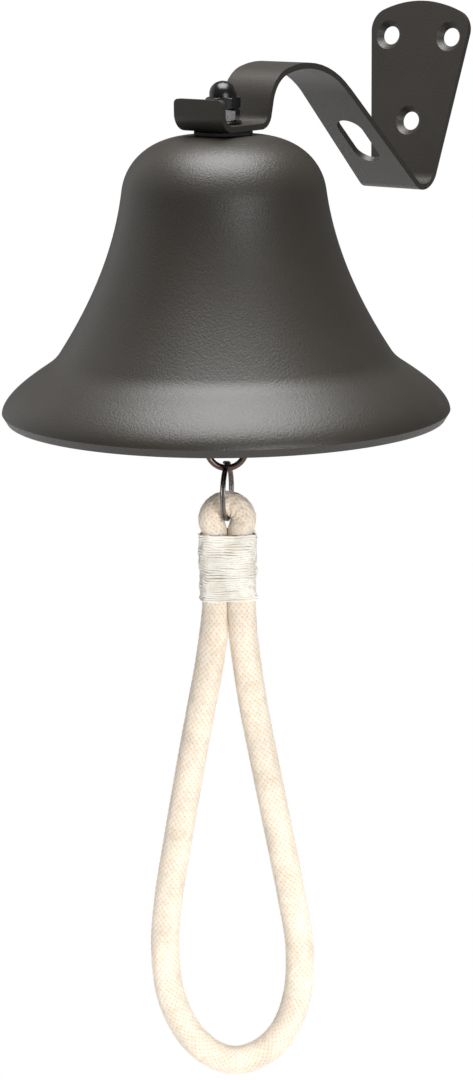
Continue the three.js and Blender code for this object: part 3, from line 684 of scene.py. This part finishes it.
def cubic(points, steps):
    """Points and directions along a cubic curve, first end left out."""
    a, b, c, d = (Vector(p) for p in points)
    for k in range(1, steps + 1):
        t = k / steps
        place = a * (1 - t) ** 3 + b * 3 * t * (1 - t) ** 2 + c * 3 * t * t * (1 - t) + d * t ** 3
        ahead = (b - a) * (1 - t) ** 2 + (c - b) * 2 * t * (1 - t) + (d - c) * t * t
        yield place, ahead.normalized(), t


def span(start, end, shares):
    """The four points of a cubic, with the inner two as shares of the way from start to end."""
    run, drop = end[0] - start[0], end[1] - start[1]
    inner = [(start[0] + run * x, start[1] + drop * z) for x, z in shares]
    return [start, *inner, end]


crown_edge = (CROWN_FLAT, CROWN_TOP)
shoulder = (SHOULDER_RADIUS, CROWN_TOP - SHOULDER_DROP)
crease = (BREAK_RADIUS, RIM_UNDER + BREAK_RISE)
lip_edge = (RIM_RADIUS, RIM_UNDER + RIM_BAND)
stretches = [
    span(crown_edge, shoulder, [(0.565, 0), (0.937, 0.42)]),
    span(shoulder, crease, [(0.106, 0.334), (0.451, 0.666)]),
    span(crease, lip_edge, [(0.385, 0.274), (0.966, 0.667)]),
]
print("bell outline stretches:", len(stretches))


# %% Turn the bell
def eased_outline(steps=22):
    """Places, directions and walls down the outside, with the crease eased by a short curve."""
    corner = Vector(crease)
    above, below = [], []
    for part, stretch in enumerate(stretches):
        for place, ahead, t in cubic(stretch, steps):
            wall = BELL_WALL + (LIP_WALL - BELL_WALL) * t if part == 2 else BELL_WALL
            if (place - corner).length > CREASE_SOFT:
                (below if part == 2 else above).append((place, ahead, wall))
    first, last = above[-1][0], below[0][0]
    ease = []
    for k in range(1, EASE_STEPS):
        t = k / EASE_STEPS
        place = first * (1 - t) ** 2 + corner * 2 * t * (1 - t) + last * t * t
        ahead = ((corner - first) * (1 - t) + (last - corner) * t).normalized()
        ease.append((place, ahead, BELL_WALL + (below[0][2] - BELL_WALL) * t))
    return above + ease + below


def bell_profile():
    """The closed outline of the bell's wall, as radius and height."""
    under_crown = CROWN_TOP - BELL_WALL
    outer = [Vector((BOLT_HOLE, CROWN_TOP)), Vector(crown_edge)]
    inner = [Vector((BOLT_HOLE, under_crown)), Vector((CROWN_FLAT, under_crown))]
    for place, ahead, wall in eased_outline():
        inside = place + Vector((ahead.y, -ahead.x)) * wall
        outer.append(place)
        if inside.y > RIM_UNDER + RIM_BAND / 2:
            inner.append(inside)
    band = Vector((RIM_RADIUS - RIM_BAND_IN, RIM_UNDER))
    outer += [outer[-1].lerp(band, share) for share in (0.12, 0.85, 1.0)]
    foot = Vector((inner[-1].x + BELL_WALL / 4, RIM_UNDER))
    return outer + [foot] + inner[::-1]


BELL_SIDES = 192


def turn_round(name, profile, sides, centre):
    points = []
    for radius, height in profile:
        for s in range(sides):
            turn = 2 * math.pi * s / sides
            out = Vector((radius * math.cos(turn), radius * math.sin(turn), height))
            points.append(centre + out)
    faces = grid_faces(len(profile), sides, close_rings=True)
    return face_outwards(link_mesh(name, points, faces))


def soften(piece, width, segments, angle):
    """Rounds the edges that are sharper than the angle."""
    bevel = piece.modifiers.new("edges", "BEVEL")
    bevel.width = width
    bevel.segments = segments
    bevel.limit_method = "ANGLE"
    bevel.angle_limit = math.radians(angle)
    bevel.harden_normals = False
    return piece


def settle(piece):
    """Applies the modifiers, so that the piece is a plain mesh."""
    evaluated = piece.evaluated_get(bpy.context.evaluated_depsgraph_get())
    mesh = bpy.data.meshes.new_from_object(evaluated)
    piece.modifiers.clear()
    piece.data = mesh
    return piece


bell = turn_round("bell", bell_profile(), BELL_SIDES, axis)
bell.data.set_sharp_from_angle(angle=math.radians(35))
dress(bell, bell_coat)
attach(bell, "fixed")
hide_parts("bell_shell")
print("bell faces:", len(bell.data.polygons))

# %% [markdown]
# ## The strap bracket
# The bracket's outline, slot and holes are already right in the CAD, so its own solid is copied.
# Pressed strip never has knife edges: shearing and the thick paint round them. A copy of the solid
# is cleaned into large flat faces, and a narrow bevel rounds its sharp edges. Its normals are then
# weighted by area, so that each flat face shades flat right up to its rounded edge.


# %% Copy a CAD solid and soften it
FLAT_WITHIN = 0.6


def copy_solid(node, name, width, segments, angle):
    source = bpy.data.objects[node]
    shape = bmesh.new()
    shape.from_mesh(source.data)
    bmesh.ops.remove_doubles(shape, verts=shape.verts, dist=2e-6)
    bmesh.ops.dissolve_limit(
        shape, angle_limit=math.radians(FLAT_WITHIN),
        verts=shape.verts, edges=shape.edges, delimit={"NORMAL"})
    mesh = bpy.data.meshes.new(name)
    shape.to_mesh(mesh)
    shape.free()
    piece = bpy.data.objects.new(name, mesh)
    bpy.context.collection.objects.link(piece)
    mesh.shade_smooth()
    soften(piece, width, segments, angle)
    settle(piece)
    piece.data.shade_smooth()
    piece.data.set_sharp_from_angle(angle=math.radians(40))
    flat = piece.modifiers.new("flat faces", "WEIGHTED_NORMAL")
    flat.keep_sharp = True
    return settle(piece)


EDGE_ROUND = 0.3 * MM
strap = copy_solid("bracket", "strap_bracket", EDGE_ROUND, segments=2, angle=32)
dress(strap, strap_coat)
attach(strap, "fixed")
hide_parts("bracket")
print("strap faces:", len(strap.data.polygons))

# %% [markdown]
# ## Small metal and rubber
# Nuts are blackened and lacquered, so they shine softly. The gaskets are matt rubber with a faint
# mottle. The bolt, its link and the inner nut are zinc plated. The clapper is rough iron, and the
# rings are drawn wire, one browned and one nearly bare.

# %% Metal and rubber recipes
def metal_recipe(name, colour, roughness, metallic, grain, depth, coat=0.0):
    recipe = Recipe(name, colour, roughness, metallic)
    place = recipe.place()
    brighter = tuple(min(channel * 1.35, 1) for channel in colour)
    tone = recipe.ramp(recipe.noise(grain, 4, 0.6, place), colour, brighter, 0.35, 0.7)
    recipe.feed(recipe.shader.inputs["Base Color"], tone)
    worn = recipe.ramp(
        recipe.noise(grain * 2, 4, 0.6, place), roughness - 0.05, roughness + 0.1, 0.3, 0.7)
    recipe.feed(recipe.shader.inputs["Roughness"], worn)
    skin = recipe.bump(recipe.noise(grain * 4, 3, 0.6, place), depth, 0.6)
    recipe.feed(recipe.shader.inputs["Normal"], skin)
    recipe.set("Coat Weight", coat)
    recipe.set("Coat Roughness", 0.12)
    return recipe


gloss_black = metal_recipe(
    "black_lacquer", (0.003, 0.003, 0.003),
    roughness=0.25, metallic=0.0, grain=260, depth=0.02 * MM)
rubber = metal_recipe(
    "gasket_rubber", (0.010, 0.009, 0.009),
    roughness=0.75, metallic=0.0, grain=500, depth=0.05 * MM)
zinc = metal_recipe(
    "zinc_plate", (0.40, 0.41, 0.42),
    roughness=0.36, metallic=1.0, grain=300, depth=0.02 * MM)
iron = metal_recipe(
    "dark_iron", (0.055, 0.050, 0.046),
    roughness=0.58, metallic=0.6, grain=240, depth=0.12 * MM)
browned = metal_recipe(
    "browned_wire", (0.075, 0.045, 0.036),
    roughness=0.28, metallic=0.85, grain=420, depth=0.02 * MM, coat=0.3)
gunmetal = metal_recipe(
    "dark_steel_wire", (0.16, 0.145, 0.14),
    roughness=0.26, metallic=1.0, grain=420, depth=0.01 * MM)

COPIES = {
    "crown_gasket": (rubber, 0.2), "inner_gasket": (rubber, 0.2),
    "seat_washer": (gloss_black, 0.15), "lock_nut": (gloss_black, 0.15),
    "acorn_nut": (gloss_black, 0.15), "inner_washer": (zinc, 0.15), "inner_nut": (zinc, 0.15),
}
for node, (recipe, width) in COPIES.items():
    part = copy_solid(node, node + "_finished", width * MM, segments=2, angle=25)
    dress(part, recipe)
    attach(part, "fixed")
    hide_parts(node)
print("small pieces:", len(COPIES))

# %% [markdown]
# ## Rings of wire
# The pull ring and the split ring are round wire along a line that a rule gives, which suits
# Geometry Nodes. One small tree sweeps a round section along a circle, for the pull ring. The
# other sweeps it along a spiral of two turns, for the split ring, and fills the two ends.


# %% Wire swept along a line
def ring_tree():
    nodes = Nodes("wire_ring", ["Ring radius", "Wire radius"])
    line = nodes.add("GeometryNodeCurvePrimitiveCircle", Resolution=96, Radius=nodes["Ring radius"])
    section = nodes.add(
        "GeometryNodeCurvePrimitiveCircle", Resolution=20, Radius=nodes["Wire radius"])
    tube = nodes.add(
        "GeometryNodeCurveToMesh", Curve=line.outputs[0], Profile_Curve=section.outputs[0])
    nodes.finish(tube.outputs[0], browned.material)
    return nodes


def coil_tree():
    nodes = Nodes("split_ring_coil", ["Turns", "Ring radius", "Wire radius", "Width"])
    spiral = nodes.add("GeometryNodeCurveSpiral", Resolution=96)
    for socket, label in (("Rotations", "Turns"), ("Start Radius", "Ring radius"),
                          ("End Radius", "Ring radius"), ("Height", "Width")):
        nodes.feed(spiral.inputs[socket], nodes[label])
    section = nodes.add(
        "GeometryNodeCurvePrimitiveCircle", Resolution=14, Radius=nodes["Wire radius"])
    tube = nodes.add(
        "GeometryNodeCurveToMesh",
        Curve=spiral.outputs[0], Profile_Curve=section.outputs[0], Fill_Caps=True)
    nodes.finish(tube.outputs[0], gunmetal.material)
    return nodes


rings = ring_tree()
FACE_ALONG_Y = Matrix.Rotation(math.pi / 2, 4, "X")


def wire_ring(name, radius, wire, facing, height, recipe):
    piece = grow(name, rings, {"Ring radius": radius, "Wire radius": wire}, recipe.material)
    piece.data.transform(facing)
    return hang_mesh(piece, height)


PULL_WIRE = 1.1 * MM
pull_low, pull_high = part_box("pull_ring")
pull_radius = (pull_high[2] - pull_low[2]) / 2 - PULL_WIRE
pull_middle = (pull_high[2] + pull_low[2]) / 2
pull_ring = wire_ring(
    "browned_pull_ring", pull_radius, PULL_WIRE, FACE_ALONG_Y, pull_middle, browned)
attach(pull_ring, "ring")
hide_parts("pull_ring")
print("pull ring radius, mm:", round(pull_radius / MM, 2))

# %% The split ring
SPLIT_PITCH = 0.92 * MM
SPLIT_TURN = math.radians(-10)
SPLIT_TURNS = 2
split_low, split_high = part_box("split_ring")
split_radius = (split_high[2] - split_low[2]) / 2 - SPLIT_WIRE
split_ring = grow("split_ring_coil", coil_tree(), {
    "Turns": SPLIT_TURNS,
    "Ring radius": split_radius,
    "Wire radius": SPLIT_WIRE,
    "Width": SPLIT_TURNS * SPLIT_PITCH,
}, gunmetal.material)
to_middle = Matrix.Translation((0, 0, -SPLIT_TURNS * SPLIT_PITCH / 2))
stand_up = Matrix.Rotation(-math.pi / 2, 4, "Y") @ to_middle
split_ring.data.transform(Matrix.Rotation(SPLIT_TURN, 4, "Z") @ stand_up)
hang_mesh(split_ring, (split_high[2] + split_low[2]) / 2)
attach(split_ring, "split")
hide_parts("split_ring")
print("split ring box, mm:", [round(v / MM, 2) for v in split_ring.dimensions])

# %% [markdown]
# ## The clapper and what it hangs on
# These pieces are only seen from below. Their CAD solids are the right shape, so copies of them
# get rounded edges and smooth shading, and take their metal.

# %% Finish the clapper
FINE_ROUND = 0.1 * MM
METALS = {"eye_bolt": zinc, "clapper_link": zinc, "clapper_rod": iron, "clapper_ball": iron}
for node, recipe in METALS.items():
    body = {"eye_bolt": "fixed", "clapper_link": "link"}.get(node, "clapper")
    part = copy_solid(node, node + "_finished", FINE_ROUND, segments=1, angle=50)
    dress(part, recipe)
    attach(part, body)
    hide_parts(node)
print("clapper pieces done")

# %% [markdown]
# ## Light and floor
# The object stands against white. A white world gives an even fill, and a broad soft lamp above
# draws the highlights on the bell's shoulder and flare. A small one in front, with a narrow
# spread, warms the rope, and a weak one at the left and behind lights the bell's edge. The lens
# doesn't see the lamps. The floor is plain, pale and well below the rope.

# %% Floor, world and lamps
FLOOR_SIZE = 30
FLOOR_DROP = 50 * MM
FILL_LIGHT = 0.2
SEEN_WHITE = 1.0


def add_seen_white(tree, lit_shader, output):
    """What the lens sees directly is plain white, while the light it gives stays gentle."""
    seen = tree.nodes.new("ShaderNodeLightPath")
    white = tree.nodes.new("ShaderNodeEmission")
    white.inputs["Strength"].default_value = SEEN_WHITE
    either = tree.nodes.new("ShaderNodeMixShader")
    tree.links.new(seen.outputs["Is Camera Ray"], either.inputs[0])
    tree.links.new(lit_shader.outputs[0], either.inputs[1])
    tree.links.new(white.outputs[0], either.inputs[2])
    tree.links.new(either.outputs[0], output.inputs["Surface"])


bpy.ops.mesh.primitive_plane_add(size=FLOOR_SIZE, location=(0, 0, cad_low.z - FLOOR_DROP))
floor = bpy.context.object
floor.name = "floor"
floor_recipe = Recipe("pale_floor", (0.8, 0.8, 0.8), 0.9)
dress(floor, floor_recipe)
add_seen_white(floor_recipe.tree, floor_recipe.shader, floor_recipe.tree.nodes["Material Output"])

world = bpy.data.worlds.new("studio")
bpy.context.scene.world = world
world.use_nodes = True
sky = world.node_tree.nodes["Background"]
sky.inputs["Color"].default_value = (1, 1, 1, 1)
sky.inputs["Strength"].default_value = FILL_LIGHT
add_seen_white(world.node_tree, sky, world.node_tree.nodes["World Output"])


BELL_MIDDLE = (CROWN_TOP + RIM_UNDER) / 2
ROPE_MIDDLE = ROPE_HANG - 130 * MM


def lamp(name, place, size, power, aim_height=BELL_MIDDLE, spread=180):
    """A square lamp that looks at a height on the bell's axis. The lens doesn't see it."""
    data = bpy.data.lights.new(name, "AREA")
    data.size = size
    data.energy = power
    data.spread = math.radians(spread)
    made = bpy.data.objects.new(name, data)
    bpy.context.collection.objects.link(made)
    made.visible_camera = False
    made.location = place
    aim_at = axis + Vector((0, 0, aim_height))
    made.rotation_euler = (aim_at - Vector(place)).to_track_quat("-Z", "Y").to_euler()


above_bell = axis - forward * 0.08 + Vector((0, 0, 0.8))
low_in_front = axis - forward * 0.75 + right * 0.3 - Vector((0, 0, 0.3))
left_and_behind = axis - right * 0.85 + forward * 0.45 + Vector((0, 0, 0.15))
lamp("overhead", above_bell, size=0.8, power=22)
lamp("rope", low_in_front, size=0.4, power=0.54, aim_height=ROPE_MIDDLE, spread=45)
lamp("left edge", left_and_behind, size=1.2, power=2.6)
bpy.context.scene.view_settings.view_transform = "Standard"
print("lights:", len(bpy.data.lights))
